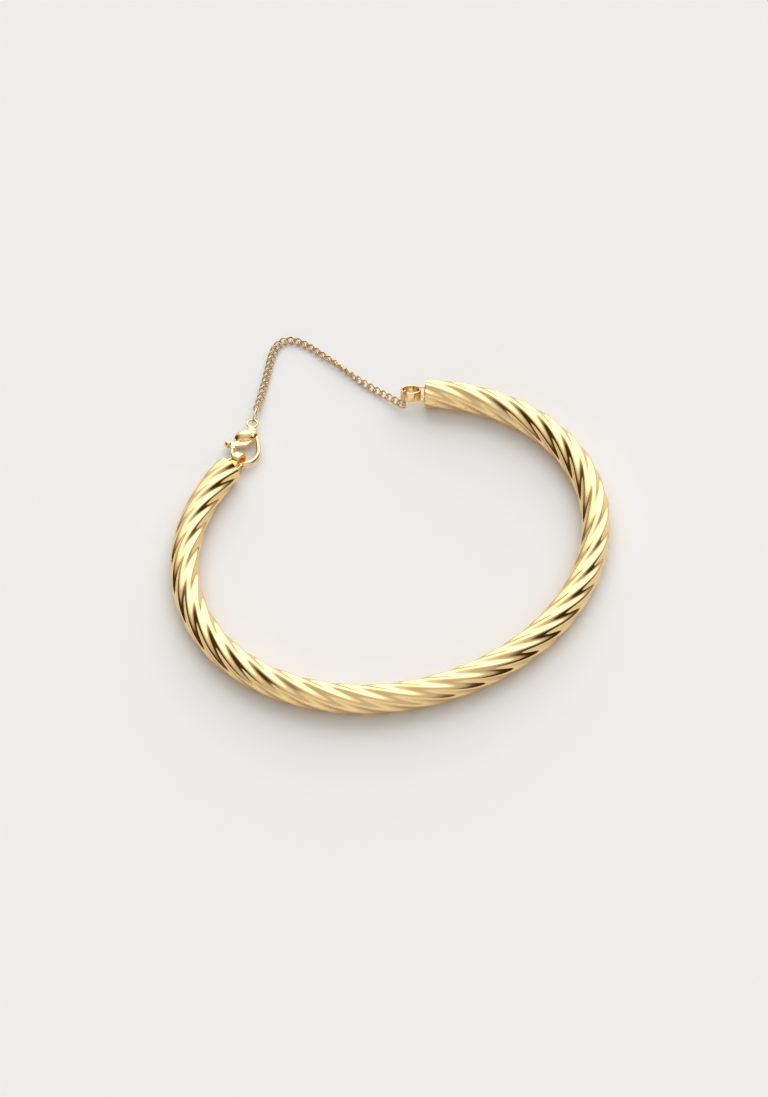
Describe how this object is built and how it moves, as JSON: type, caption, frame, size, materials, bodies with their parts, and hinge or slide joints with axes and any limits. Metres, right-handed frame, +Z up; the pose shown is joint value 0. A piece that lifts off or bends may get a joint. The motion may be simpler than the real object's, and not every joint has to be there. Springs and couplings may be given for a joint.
{
  "type": "twisted wire bangle",
  "caption": "Open oval bangle of fluted, twisted rod, with a ring on each end, a short safety chain and a lobster clasp that closes across the gap.",
  "frame": {"origin": "middle of the wrist opening, on the surface that the bangle lies on", "axes": "+Z up, through the wrist opening; +Y towards the gap between the cut ends; +X along the long way of the opening"},
  "size_m": [0.0676, 0.0712, 0.0044],
  "materials": {
    "twisted_rod": "polished yellow gold plating over brass",
    "left_ring": "polished yellow gold plating",
    "right_ring": "polished yellow gold plating",
    "chain": "polished pale gold plating",
    "clasp_body": "polished gold plating on a cast clasp",
    "clasp_lever": "polished gold plating",
    "clasp_rivet": "polished gold plating"
  },
  "bodies": {
    "bangle": {"twisted_rod": "twisted_rod", "left_ring": "left_ring", "right_ring": "right_ring", "chain": "chain", "clasp_body": "clasp_body", "clasp_rivet": "clasp_rivet"},
    "clasp_lever": {"clasp_lever": "clasp_lever"}
  },
  "joints": [
    {"name": "clasp_lever_hinge", "type": "hinge", "parent": "bangle", "child": "clasp_lever", "pos_m": [-0.01066, 0.02686, 0.00118], "axis": [0, 0, -1], "range_deg": [0, 18], "stiffness_Nm_per_rad": 0.0001, "springref_deg": -5.73}
  ]
}
